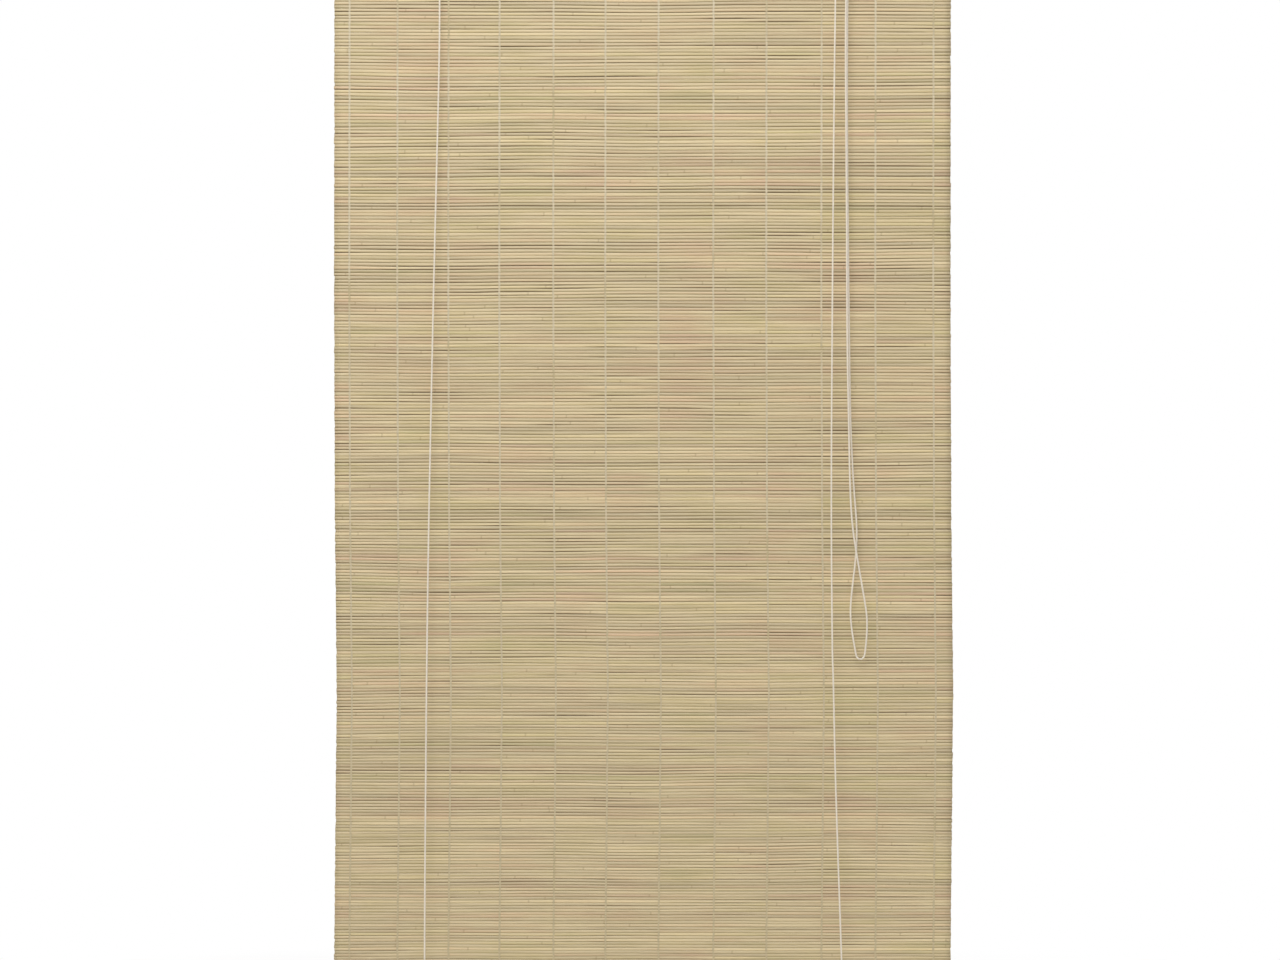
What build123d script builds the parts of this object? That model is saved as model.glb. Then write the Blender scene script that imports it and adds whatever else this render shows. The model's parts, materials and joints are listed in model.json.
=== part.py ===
from build123d import *
import os
from math import asin, degrees, pi, radians, sqrt, tan

# Bamboo roll up blind, hung fully lowered.
# X runs along the head rail, -Y faces the room, +Y the wall, +Z is up.
# The origin lies between the two hanging holes, on the wall side of their plates.

# Overall sizes
blind_width = 800.0
blind_drop = 1600.0  # top of the rail to the underside of the dowel
wall_gap = 6.0  # wall to the back of the mat, room for the cords behind

# Woven mat of bamboo slats, its weave pulled open by its own weight at the top
mat_thickness = 1.8
mat_below_rail_top = 0.5
band_below_rail = 3.0  # mat that stays straight under the rail
slat_pitch_top = 4.5
slat_pitch_bottom = 3.75
groove_width = 0.9
groove_depth_front = 0.5
groove_depth_back = 0.35
least_panel = 0.6  # share of a full panel that the last one may be short by itself
panel_gap = 0.24  # open line of weave between two panels that turn

# Roll that the lower mat makes when the blind is drawn up
rolled_length = 450.0
core_radius = 13.0
side_bulge = 4.5  # how far a flat panel of slats stands inside the round of the roll
turn_clearance = 2.0
turn_slack = 0.96  # share of a tight wrap, so that the turns of the roll stay apart
carrier_length = 40.0
raised_gap = 49.0  # rail to the top of the rising panels when fully up

# Head rail
rail_depth = 22.0
rail_height = 32.0
rail_edge = 2.0

# Hanging plates, bent from strip
plate_width = 22.0
plate_thickness = 1.5
plate_reach = 19.0
plate_inset = 80.0  # end of the rail to the middle of a plate
hanging_hole = 6.0
hole_above_rail = 14.0
plate_top_above_hole = 8.0
plate_screw_inset = 5.5

# Screws and staples
screw_shank = 3.0
screw_hole = 3.4
screw_head = 6.0
screw_head_height = 1.8
screw_head_bevel = 0.6
screw_length = 12.0
plate_screw_length = 14.0
staple_wire = 0.9
staple_width = 9.0
staple_leg = 6.0
staple_count = 16
staple_end = 20.0  # end of the mat to the middle of the first staple
staple_drop = 8.0  # top of the rail to its staples

# Bottom dowel
dowel_diameter = 16.0
dowel_below_mat = 2.0
dowel_seat = 0.05
dowel_chamfer = 1.0

# Cord and its wheels
cord_diameter = 2.2
cord_clearance = 0.3
wheel_width = 5.0
wheel_rim = 0.5
wheel_flange = 1.8  # how far the rims stand out past the middle of the cord
left_wheel_radius = 7.0  # to the middle of the cord
lock_wheel_radius = 9.0
wheel_bore_clearance = 0.05
wheel_side_clearance = 0.3
axle_diameter = 3.0
axle_head = 5.0
axle_head_height = 1.0
cross_cord_drop = 7.0  # underside of the rail to the middle of the cross cord
strap_thickness = 1.2
strap_flange = 9.0
strap_side = 7.5  # middle of the wheel to the edge of a cheek
strap_below_axle = 6.0
strap_corner = 3.5
cord_plane_inset = 6.7  # front of the mat to the middle of the inner cord

# Toothed pawl of the cord lock
pawl_reach = 11.5  # pull cord to the middle of the pawl's pin
pawl_drop = 4.0
pawl_boss = 3.6
pawl_tooth_depth = 0.7
pawl_tooth_count = 3
pawl_nose_height = 6.0
pawl_nose_drop = 0.5
pawl_tail = 13.0
pawl_tail_height = 6.0
pawl_side_clearance = 0.35

# Cord places along the rail, as the cords hang
left_cord_inset = 136.4  # end of the rail to the cord below the left wheel
right_cord_inset = 150.6  # end of the rail to the lift cord below the lock
left_cord_lean = -18.0  # how far aside each cord has drifted where it passes under the dowel
right_cord_lean = 12.6
back_cord_y = -3.2
anchor_drop = 12.0  # top of the rail to the cord staples at the back
tuck_radius = 6.0  # bend of a lift cord where it turns up behind the mat
knot_diameter = 4.4
cord_staple_drop = 4.5  # middle of the knot to its staple
cord_staple_room = 0.2
wheel_lead = 1.0  # straight cord below a wheel's middle, where two lengths meet

# Planes that the sizes above give
rail_top = -hole_above_rail
rail_bottom = rail_top - rail_height
mat_back = -wall_gap
mat_front = mat_back - mat_thickness
rail_front = mat_front - rail_depth
blind_bottom = rail_top - blind_drop
mat_top = rail_top - mat_below_rail_top
mat_bottom = blind_bottom + dowel_below_mat
inner_cord_y = mat_front - cord_plane_inset
outer_cord_y = inner_cord_y - wheel_width - 2 * wheel_side_clearance
cross_cord_z = rail_bottom - cross_cord_drop
left_cord_x = left_cord_inset - blind_width / 2
right_cord_x = blind_width / 2 - right_cord_inset
left_low_x = left_cord_x + left_cord_lean
right_low_x = right_cord_x + right_cord_lean
left_axle_x = left_cord_x + left_wheel_radius
left_axle_z = cross_cord_z - left_wheel_radius
lock_axle_x = right_cord_x + lock_wheel_radius
lock_axle_z = cross_cord_z - lock_wheel_radius
pull_cord_x = lock_axle_x + lock_wheel_radius
plate_screw_y = mat_front - rail_depth / 2
left_cheek_near = inner_cord_y + wheel_width / 2 + wheel_side_clearance
left_cheek_far = inner_cord_y - wheel_width / 2 - wheel_side_clearance
lock_cheek_near = left_cheek_near
lock_cheek_far = outer_cord_y - wheel_width / 2 - wheel_side_clearance
pawl_pin_x = pull_cord_x + pawl_reach
pawl_pin_z = lock_axle_z - pawl_drop
anchor_z = rail_top - anchor_drop
sling_radius = dowel_diameter / 2 + cord_diameter / 2 + cord_clearance
left_end = Plane.YZ.offset(-blind_width / 2)
dowel_y = mat_front - dowel_seat - dowel_diameter / 2
dowel_z = blind_bottom + dowel_diameter / 2
sling_y = dowel_y - sling_radius
sling_z = dowel_z - sling_radius


def write(part, name):
    part.label = name
    export_step(part, f"parts/{name}.step")


# Mat
def slat_lines():
    """Heights of the lines between slats, from the top of the mat to its end."""
    lines = [mat_top]
    while True:
        depth = (mat_top - lines[-1]) / (mat_top - mat_bottom)
        pitch = slat_pitch_top + (slat_pitch_bottom - slat_pitch_top) * depth
        if lines[-1] - 1.5 * pitch < mat_bottom:
            return lines + [mat_bottom]
        lines.append(lines[-1] - pitch)


def line_below(lines, height):
    """Number of the first line at or under a height."""
    return next(i for i, z in enumerate(lines) if z <= height)


def roll_radius(rolled, length):
    """Radius of the roll where that much of its length is already wound in, from outside."""
    turn = mat_thickness + side_bulge + turn_clearance
    return sqrt(core_radius**2 + turn * (length - rolled) / pi)


def chain_lines(lines, first):
    """Lines where the lower mat turns: short panels near the core, longer ones outside."""
    marks = [first]
    length = lines[first] - mat_bottom
    while marks[-1] < len(lines) - 1:
        start = lines[first] - lines[marks[-1]]
        want = sqrt(8 * roll_radius(min(start, length), length) * side_bulge)
        last = line_below(lines, max(lines[marks[-1]] - want, mat_bottom))
        left_over = lines[last] - mat_bottom
        if left_over < least_panel * want:
            last = len(lines) - 1
        marks.append(max(last, marks[-1] + 1))
    return marks


def mat_points(lines):
    """Section of the mat in Y and Z, a ridge for each slat on both faces."""
    edge = groove_width / 2
    front = []
    back = []
    for high, low in zip(lines, lines[1:]):
        front += [(mat_front + groove_depth_front, high)]
        front += [(mat_front, high - edge), (mat_front, low + edge)]
        back += [(mat_back - groove_depth_back, high)]
        back += [(mat_back, high - edge), (mat_back, low + edge)]
    front += [(mat_front + groove_depth_front, lines[-1])]
    back += [(mat_back - groove_depth_back, lines[-1])]
    return front + back[::-1]


def mat_piece(lines, first, last):
    """One stretch of the mat, kept back from its neighbours by half a gap."""
    inside = [lines[first] - panel_gap / 2, *lines[first + 1 : last], lines[last] + panel_gap / 2]
    with BuildPart() as piece:
        with BuildSketch(left_end):
            with BuildLine():
                Polyline(*mat_points(inside), close=True)
            make_face()
        extrude(amount=blind_width)
    return piece.part


# Wood
def head_rail():
    with BuildPart() as rail:
        with BuildSketch(left_end):
            with Locations((mat_front, rail_top)):
                Rectangle(rail_depth, rail_height, align=(Align.MAX, Align.MAX))
        extrude(amount=blind_width)
        front_edges = rail.edges().filter_by(Axis.X).group_by(Axis.Y)[0]
        fillet(front_edges, radius=rail_edge)
    return rail.part


def bottom_dowel():
    with BuildPart() as dowel:
        with BuildSketch(left_end):
            with Locations((dowel_y, dowel_z)):
                Circle(dowel_diameter / 2)
        extrude(amount=blind_width)
        chamfer(dowel.edges().filter_by(GeomType.CIRCLE), length=dowel_chamfer)
    return dowel.part


# Fasteners
def screw_up(x, y, under, length):
    """Pan head screw driven up into the rail, its head on the surface at that height."""
    with BuildPart() as screw:
        with BuildSketch(Plane.XZ.offset(-y)):
            with BuildLine():
                Polyline(
                    (x, under - screw_head_height),
                    (x + screw_head / 2 - screw_head_bevel, under - screw_head_height),
                    (x + screw_head / 2, under - screw_head_height + screw_head_bevel),
                    (x + screw_head / 2, under),
                    (x + screw_shank / 2, under),
                    (x + screw_shank / 2, under + length - screw_shank),
                    (x, under + length),
                    close=True,
                )
            make_face()
        revolve(axis=Axis((x, y, 0), (0, 0, 1)))
    return screw.part


def screw_down(x, y, over, length):
    """The same screw turned over, driven down into the rail."""
    return Pos(0, 0, 2 * over) * mirror(screw_up(x, y, over, length), about=Plane.XY)


def staple(x, z, surface, leg, crown_height):
    """Wire staple driven toward -Y, its crown level along X."""
    half = (staple_width - staple_wire) / 2
    with BuildPart() as wire:
        with BuildSketch(Plane.XY.offset(z - staple_wire / 2)):
            with BuildLine():
                Polyline(
                    (x - half - staple_wire / 2, surface - leg),
                    (x - half - staple_wire / 2, surface + crown_height),
                    (x + half + staple_wire / 2, surface + crown_height),
                    (x + half + staple_wire / 2, surface - leg),
                    (x + half - staple_wire / 2, surface - leg),
                    (x + half - staple_wire / 2, surface + crown_height - staple_wire),
                    (x - half + staple_wire / 2, surface + crown_height - staple_wire),
                    (x - half + staple_wire / 2, surface - leg),
                    close=True,
                )
            make_face()
        extrude(amount=staple_wire)
    return wire.part


def staple_row(z, leg):
    """Staples along the mat at one height, seated on its back."""
    step = (blind_width - 2 * staple_end) / (staple_count - 1)
    first = staple_end - blind_width / 2
    return [staple(first + i * step, z, mat_back, leg, staple_wire) for i in range(staple_count)]


# Hanging plates
def hanging_plate(x):
    """Bent strip: a foot on top of the rail and an upright ear against the wall."""
    with BuildPart() as plate:
        with BuildSketch(Plane.YZ.offset(x - plate_width / 2)):
            with BuildLine():
                Polyline(
                    (0, rail_top),
                    (0, plate_top_above_hole),
                    (-plate_thickness, plate_top_above_hole),
                    (-plate_thickness, rail_top + plate_thickness),
                    (-wall_gap - plate_reach, rail_top + plate_thickness),
                    (-wall_gap - plate_reach, rail_top),
                    close=True,
                )
            make_face()
        extrude(amount=plate_width)
        ear_corners = plate.edges().filter_by(Axis.Y).group_by(Axis.Z)[-1]
        fillet(ear_corners, radius=plate_width / 3)
        bend = plate.edges().filter_by(Axis.X).sort_by_distance((x, 0, rail_top))[0]
        fillet(bend, radius=plate_thickness * 0.9)
        with Locations(Plane((x, 0, 0), x_dir=(1, 0, 0), z_dir=(0, -1, 0))):
            Hole(hanging_hole / 2)
        with Locations([(x + side * plate_screw_inset, plate_screw_y, rail_top) for side in (-1, 1)]):
            Hole(screw_hole / 2)
    return plate.part


# Wheels and their straps
def wheel(x, y, z, radius):
    """Grooved cord wheel, turning about Y."""
    rim = radius + wheel_flange
    floor = radius - cord_diameter / 2 - cord_clearance
    half = wheel_width / 2
    bore = axle_diameter / 2 + wheel_bore_clearance
    mouth = cord_diameter / 2 + cord_clearance
    with BuildPart() as part:
        with BuildSketch(Plane.XY.offset(z)):
            with BuildLine():
                Polyline(
                    (x + bore, y - half),
                    (x + rim, y - half),
                    (x + rim, y - half + wheel_rim),
                    (x + floor, y - mouth * 0.6),
                    (x + floor, y + mouth * 0.6),
                    (x + rim, y + half - wheel_rim),
                    (x + rim, y + half),
                    (x + bore, y + half),
                    close=True,
                )
            make_face()
        revolve(axis=Axis((x, 0, z), (0, 1, 0)))
    return part.part


def strap(low_x, far_x, near_y, far_y, axles, hem_z):
    """Bent strap under the rail: two cheeks, a web on the wood and a screw flange at each end."""
    middle_x = (low_x + far_x) / 2
    middle_y = (near_y + far_y) / 2
    outer_near = near_y + strap_thickness
    outer_far = far_y - strap_thickness
    with BuildPart() as part:
        with BuildSketch(Plane.XY.offset(rail_bottom)):
            with Locations((middle_x, middle_y)):
                Rectangle(far_x - low_x + 2 * strap_flange, outer_near - outer_far)
        extrude(amount=-strap_thickness)
        for face_y in (outer_near, far_y):
            with BuildSketch(Plane.XZ.offset(-face_y)) as cheek:
                with Locations((middle_x, rail_bottom)):
                    Rectangle(far_x - low_x, rail_bottom - hem_z, align=(Align.CENTER, Align.MAX))
                fillet(cheek.vertices().group_by(Axis.Y)[0], radius=strap_corner)
            extrude(amount=strap_thickness)
        for hole_x, hole_z in axles:
            with Locations(Plane((hole_x, middle_y, hole_z), x_dir=(1, 0, 0), z_dir=(0, 1, 0))):
                Hole(axle_diameter / 2)
        for screw_x in (low_x - strap_flange / 2, far_x + strap_flange / 2):
            with Locations((screw_x, middle_y, rail_bottom)):
                Hole(screw_hole / 2)
    return part.part


def axle(x, z, near_y, far_y):
    """Riveted pin through both cheeks, with a head on each side."""
    outer_near = near_y + strap_thickness
    outer_far = far_y - strap_thickness
    with BuildPart() as pin:
        with BuildSketch(Plane.XZ.offset(-outer_near)):
            with Locations((x, z)):
                Circle(axle_diameter / 2)
        extrude(amount=outer_near - outer_far)
        for face_y, grow in ((outer_near, -axle_head_height), (outer_far, axle_head_height)):
            with BuildSketch(Plane.XZ.offset(-face_y)):
                with Locations((x, z)):
                    Circle(axle_head / 2)
            extrude(amount=grow)
    return pin.part


def strap_screws(low_x, far_x, middle_y):
    ends = (low_x - strap_flange / 2, far_x + strap_flange / 2)
    return [screw_up(x, middle_y, rail_bottom - strap_thickness, screw_length) for x in ends]


def pawl(pin_x, pin_z, near_y, far_y):
    """Cam with a toothed nose at the pull cord, and a heavier tail that keeps it there."""
    nose_x = pull_cord_x + cord_diameter / 2 + cord_clearance
    nose_top = pin_z - pawl_nose_drop
    tooth = pawl_nose_height / pawl_tooth_count
    edge = [(nose_x + pawl_tooth_depth, nose_top)]
    for i in range(pawl_tooth_count):
        edge.append((nose_x, nose_top - (i + 0.5) * tooth))
        edge.append((nose_x + pawl_tooth_depth, nose_top - (i + 1) * tooth))
    with BuildPart() as part:
        with BuildSketch(Plane.XZ.offset(-near_y + pawl_side_clearance)):
            with BuildLine():
                Polyline(
                    (pin_x, pin_z + pawl_boss * 0.7),
                    *edge,
                    (pin_x, pin_z - pawl_boss),
                    close=True,
                )
            make_face()
            with Locations((pin_x, pin_z)):
                Rectangle(pawl_tail, pawl_tail_height, align=(Align.MIN, Align.CENTER))
                Circle(pawl_boss)
                Circle(axle_diameter / 2 + wheel_bore_clearance, mode=Mode.SUBTRACT)
        extrude(amount=near_y - far_y - 2 * pawl_side_clearance)
    return part.part


# Cords
def corner_radii(points):
    """Radius for each corner: 0.45 of the shorter run beside it over the tangent of half the turn."""
    radii = []
    for a, b, c in zip(points, points[1:], points[2:]):
        one = Vector(*b) - Vector(*a)
        two = Vector(*c) - Vector(*b)
        half_turn = radians(one.get_angle(two)) / 2
        radii.append(0.45 * min(one.length, two.length) / tan(half_turn))
    return radii


def cord(name, points, fixed):
    """Tube along straight runs and tangent arcs. fixed gives the corners that go round a wheel."""
    radii = [fixed.get(i + 1, r) for i, r in enumerate(corner_radii(points))]
    with BuildPart() as part:
        with BuildLine() as route:
            FilletPolyline(*points, radius=radii)
        path = route.wires()[0]
        start = path.position_at(0)
        with BuildSketch(Plane(start, z_dir=path.tangent_at(0))):
            Circle(cord_diameter / 2)
        sweep(path=path)
    section = pi * cord_diameter**2 / 4
    share = part.part.volume / (section * path.length)
    print(name, f"length {path.length:.1f} mm, volume share {share:.4f}, least radius {min(radii):.1f}")
    return part.part


def lift_cord(name, cord_x, front_points, low_x, strand_y, axle_z):
    """Down from its wheel, under the dowel and up behind the mat to a knot."""
    top_z = axle_z - wheel_lead
    points = [(cord_x, strand_y, top_z)]
    for aside, z in front_points:
        share = (top_z - z) / (top_z - sling_z)
        points.append((cord_x + aside, strand_y + (sling_y - strand_y) * share, z))
    points += [
        (low_x, sling_y, sling_z),
        (low_x, back_cord_y, sling_z),
        (low_x, back_cord_y, anchor_z),
    ]
    tube = cord(name, points, {len(points) - 3: sling_radius, len(points) - 2: tuck_radius})
    with BuildPart() as knotted:
        add(tube)
        with Locations((low_x, back_cord_y, anchor_z)):
            Sphere(knot_diameter / 2)
    return knotted.part


def cross_cord():
    """Over the left wheel, along under the rail and over the inner wheel of the lock."""
    points = [
        (left_cord_x, inner_cord_y, left_axle_z - wheel_lead),
        (left_cord_x, inner_cord_y, cross_cord_z),
        (pull_cord_x, inner_cord_y, cross_cord_z),
        (pull_cord_x, inner_cord_y, lock_axle_z - wheel_lead),
    ]
    return cord("cross_cord", points, {1: left_wheel_radius, 2: lock_wheel_radius})


def pull_cord():
    """Over the outer wheel of the lock, down, round the loop that the hand takes and up again."""
    points = [
        (right_cord_x, outer_cord_y, lock_axle_z - wheel_lead),
        (right_cord_x, outer_cord_y, cross_cord_z),
        (pull_cord_x, outer_cord_y, cross_cord_z),
        *[(pull_cord_x + aside, outer_cord_y + back, z) for aside, back, z in pull_points],
        (pull_cord_x, inner_cord_y, lock_axle_z - wheel_lead),
    ]
    over_wheel = lock_wheel_radius - 0.1
    return cord("pull_cord", points, {1: over_wheel, 2: over_wheel})


# Lay of the lift cords in front of the mat: aside from the cord at its wheel, and height
left_front_points = [
    (0.0, -190.0),
    (-3.6, -268.0),
    (-7.8, -502.0),
    (-11.7, -658.0),
    (-16.6, -970.0),
    (-18.3, -1437.0),
]
right_front_points = [
    (0.0, -190.0),
    (-1.3, -268.0),
    (-3.9, -580.0),
    (-5.3, -840.0),
    (-5.0, -1039.0),
    (-1.6, -1066.0),
    (3.8, -1203.0),
    (10.3, -1437.0),
]

# Lay of the pull cord below the lock: aside from its wheel, back from its outer strand, and height
pull_points = [
    (0.0, 0.0, -104.0),
    (-4.8, -0.2, -190.0),
    (-5.3, -0.3, -430.0),
    (-4.9, -0.1, -645.0),
    (-2.8, 0.1, -736.0),
    (0.1, -0.1, -814.0),
    (4.8, -0.3, -879.0),
    (12.2, -0.1, -928.0),
    (20.6, 0.3, -956.0),
    (25.4, 0.9, -988.0),
    (25.5, 1.7, -1016.0),
    (21.2, 2.5, -1037.0),
    (14.2, 3.1, -1045.5),
    (7.4, 3.7, -1036.0),
    (3.5, 4.4, -1012.0),
    (3.2, 5.1, -983.0),
    (6.2, 5.5, -953.0),
    (10.2, 5.6, -921.0),
    (10.5, 5.5, -872.0),
    (6.8, 5.4, -814.0),
    (3.0, 5.5, -736.0),
    (0.5, 5.6, -645.0),
    (0.2, 5.7, -380.0),
]


def cord_staple(x):
    """Tall staple over the cord below its knot, driven through the mat into the rail."""
    crown = back_cord_y + cord_diameter / 2 + cord_staple_room - mat_back + staple_wire
    return staple(x, anchor_z - cord_staple_drop, mat_back, staple_leg, crown)


def together(pieces):
    """Like fasteners as one node of separate solids."""
    with BuildPart() as group:
        for piece in pieces:
            add(piece)
    return group.part


os.makedirs("parts", exist_ok=True)

# Mat, from the rail down
lines = slat_lines()
band_end = line_below(lines, rail_bottom - band_below_rail)
chain_start = line_below(lines, mat_bottom + rolled_length)
carrier_start = line_below(lines, lines[chain_start] + carrier_length)
turn_lines = chain_lines(lines, chain_start)
write(mat_piece(lines, 0, band_end), "mat_top_band")
write(mat_piece(lines, band_end, carrier_start), "mat_upper")
write(mat_piece(lines, carrier_start, chain_start), "mat_panel_01")
for number, (first, last) in enumerate(zip(turn_lines[:-1], turn_lines[1:-1]), start=2):
    write(mat_piece(lines, first, last), f"mat_panel_{number:02d}")
write(mat_piece(lines, turn_lines[-2], turn_lines[-1]), "mat_bottom_panel")

# Wood and what fastens the mat to it
write(head_rail(), "head_rail")
write(bottom_dowel(), "bottom_dowel")
write(together(staple_row(rail_top - staple_drop, staple_leg)), "rail_staples")
write(together(staple_row(dowel_z, staple_leg)), "dowel_staples")

# Hanging plates
plate_x = blind_width / 2 - plate_inset
plate_places = {"left": -plate_x, "right": plate_x}
plate_screws = []
for side, x in plate_places.items():
    write(hanging_plate(x), f"hanging_plate_{side}")
    for screw_x in (x - plate_screw_inset, x + plate_screw_inset):
        plate_screws.append(screw_down(screw_x, plate_screw_y, rail_top + plate_thickness, plate_screw_length))
write(together(plate_screws), "hanging_plate_screws")

# Left wheel
left_low = left_axle_x - strap_side
left_far = left_axle_x + strap_side
left_hem = left_axle_z - strap_below_axle
left_axle = [(left_axle_x, left_axle_z)]
left_middle = (left_cheek_near + left_cheek_far) / 2
write(strap(left_low, left_far, left_cheek_near, left_cheek_far, left_axle, left_hem), "left_wheel_strap")
write(wheel(left_axle_x, inner_cord_y, left_axle_z, left_wheel_radius), "left_wheel")
write(axle(left_axle_x, left_axle_z, left_cheek_near, left_cheek_far), "left_wheel_axle")
write(together(strap_screws(left_low, left_far, left_middle)), "left_strap_screws")

# Cord lock
lock_low = lock_axle_x - strap_side
lock_far = pawl_pin_x + strap_side
lock_hem = pawl_pin_z - strap_below_axle
lock_pins = [(lock_axle_x, lock_axle_z), (pawl_pin_x, pawl_pin_z)]
lock_middle = (lock_cheek_near + lock_cheek_far) / 2
write(strap(lock_low, lock_far, lock_cheek_near, lock_cheek_far, lock_pins, lock_hem), "lock_strap")
write(wheel(lock_axle_x, inner_cord_y, lock_axle_z, lock_wheel_radius), "lock_wheel_inner")
write(wheel(lock_axle_x, outer_cord_y, lock_axle_z, lock_wheel_radius), "lock_wheel_outer")
write(axle(lock_axle_x, lock_axle_z, lock_cheek_near, lock_cheek_far), "lock_wheel_axle")
write(pawl(pawl_pin_x, pawl_pin_z, lock_cheek_near, lock_cheek_far), "lock_pawl")
write(axle(pawl_pin_x, pawl_pin_z, lock_cheek_near, lock_cheek_far), "lock_pawl_pin")
write(together(strap_screws(lock_low, lock_far, lock_middle)), "lock_strap_screws")

# Cords
left_lay = (left_cord_x, left_front_points, left_low_x)
right_lay = (right_cord_x, right_front_points, right_low_x)
write(lift_cord("lift_cord_left", *left_lay, inner_cord_y, left_axle_z), "lift_cord_left")
write(lift_cord("lift_cord_right", *right_lay, outer_cord_y, lock_axle_z), "lift_cord_right")
write(cross_cord(), "cross_cord")
write(pull_cord(), "pull_cord")
write(together([cord_staple(x) for x in (left_low_x, right_low_x)]), "cord_staples")

# How far it all moves
raised_top = rail_bottom - raised_gap
lift = raised_top - lines[carrier_start]
print(f"slats {len(lines) - 1}, mat fixed above {lines[band_end]:.4f}, lift {lift:.4f}")
print(f"panel 01 from {lines[carrier_start]:.4f} to {lines[chain_start]:.4f}")
chain_length = lines[chain_start] - mat_bottom
half_turn_above = 0
for number, (first, last) in enumerate(zip(turn_lines, turn_lines[1:]), start=2):
    radius = roll_radius(lines[chain_start] - lines[first], chain_length)
    length = lines[first] - lines[last]
    turn = turn_slack * (half_turn_above + asin(length / 2 / radius))
    next_radius = roll_radius(lines[chain_start] - lines[last], chain_length)
    half_turn_above = asin(min(length / 2 / next_radius, 1))
    print(f"turn {number:02d} at {lines[first]:.4f}, up to {degrees(turn):.3f} degrees")
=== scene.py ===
import json
import math

import bpy
import numpy as np
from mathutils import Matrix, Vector

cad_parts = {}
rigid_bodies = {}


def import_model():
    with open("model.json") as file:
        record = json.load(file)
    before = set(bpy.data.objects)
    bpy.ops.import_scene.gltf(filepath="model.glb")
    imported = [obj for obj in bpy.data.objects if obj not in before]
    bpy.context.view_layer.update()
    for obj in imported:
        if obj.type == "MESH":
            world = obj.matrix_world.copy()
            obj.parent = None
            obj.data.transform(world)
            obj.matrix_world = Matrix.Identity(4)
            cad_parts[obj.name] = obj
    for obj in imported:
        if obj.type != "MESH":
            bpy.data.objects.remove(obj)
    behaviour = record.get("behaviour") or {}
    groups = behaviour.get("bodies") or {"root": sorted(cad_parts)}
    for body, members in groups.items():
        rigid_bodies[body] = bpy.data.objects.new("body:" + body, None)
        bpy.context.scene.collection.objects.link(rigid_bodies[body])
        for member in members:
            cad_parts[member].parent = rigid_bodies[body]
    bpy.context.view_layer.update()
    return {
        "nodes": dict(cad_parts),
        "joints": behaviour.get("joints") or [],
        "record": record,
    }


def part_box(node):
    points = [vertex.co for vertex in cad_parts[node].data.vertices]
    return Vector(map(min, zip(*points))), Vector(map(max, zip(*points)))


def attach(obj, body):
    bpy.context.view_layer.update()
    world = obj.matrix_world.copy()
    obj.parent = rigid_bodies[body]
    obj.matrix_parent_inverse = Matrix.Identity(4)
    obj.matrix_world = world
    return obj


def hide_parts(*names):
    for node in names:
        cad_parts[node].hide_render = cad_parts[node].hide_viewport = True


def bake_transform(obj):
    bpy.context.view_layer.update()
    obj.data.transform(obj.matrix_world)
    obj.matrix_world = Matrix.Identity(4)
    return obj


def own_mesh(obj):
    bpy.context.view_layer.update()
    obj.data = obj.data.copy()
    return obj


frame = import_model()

joints = {joint["name"]: joint for joint in frame["joints"]}
print("frame loaded,", len(frame["nodes"]), "nodes")


# Shared colour and node helpers
def linear(*picked):
    # colours are picked as 0 to 255, and shaders want linear light
    parts = [part / 255 for part in picked]
    return tuple(part / 12.92 if part <= 0.04 else ((part + 0.055) / 1.055) ** 2.4 for part in parts) + (1.0,)


def addNode(tree, kind, **settings):
    node = tree.nodes.new(kind)
    for name, value in settings.items():
        if name in node.inputs:
            node.inputs[name].default_value = value
        else:
            setattr(node, name, value)
    return node


def wire(tree, source, target):
    tree.links.new(source, target)


def mathNode(tree, operation, first, second=None, clamp=False):
    node = addNode(tree, "ShaderNodeMath", operation=operation, use_clamp=clamp)
    for socket, value in zip(node.inputs, (first, second)):
        if value is None:
            continue
        if isinstance(value, (int, float)):
            socket.default_value = value
        else:
            wire(tree, value, socket)
    return node.outputs[0]


def mixColour(tree, mode, factor, first, second):
    node = addNode(tree, "ShaderNodeMix", data_type="RGBA", blend_type=mode)
    for socket, value in zip((node.inputs[0], node.inputs[6], node.inputs[7]), (factor, first, second)):
        if isinstance(value, (int, float, tuple)):
            socket.default_value = value
        else:
            wire(tree, value, socket)
    return node.outputs[2]


def grey(tree, value):
    join = addNode(tree, "ShaderNodeCombineColor")
    for socket in join.inputs:
        wire(tree, value, socket)
    return join.outputs[0]


def newGroup(name, inputs, outputs):
    tree = bpy.data.node_groups.new(name, "ShaderNodeTree")
    for label, value in inputs:
        kind = "NodeSocketColor" if isinstance(value, tuple) else "NodeSocketFloat"
        socket = tree.interface.new_socket(label, in_out="INPUT", socket_type=kind)
        socket.default_value = value
    for label, kind in outputs:
        tree.interface.new_socket(label, in_out="OUTPUT", socket_type="NodeSocket" + kind)
    start = tree.nodes.new("NodeGroupInput")
    end = tree.nodes.new("NodeGroupOutput")
    return tree, start.outputs, end.inputs


def placeGroup(tree, group, **values):
    node = tree.nodes.new("ShaderNodeGroup")
    node.node_tree = group
    for name, value in values.items():
        socket = node.inputs[name]
        if isinstance(value, (int, float, tuple)):
            socket.default_value = value
        else:
            wire(tree, value, socket)
    return node.outputs


def newMaterial(name):
    material = bpy.data.materials.new(name)
    material.use_nodes = True
    tree = material.node_tree
    shader = next(node for node in tree.nodes if node.type == "BSDF_PRINCIPLED")
    return material, tree, shader


def stretchedPlace(tree, x, y, z):
    # object coordinates, scaled on each axis by itself
    place = addNode(tree, "ShaderNodeTexCoord")
    mapping = addNode(tree, "ShaderNodeMapping")
    mapping.inputs["Scale"].default_value = (x, y, z)
    wire(tree, place.outputs["Object"], mapping.inputs["Vector"])
    return mapping.outputs["Vector"]


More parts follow.
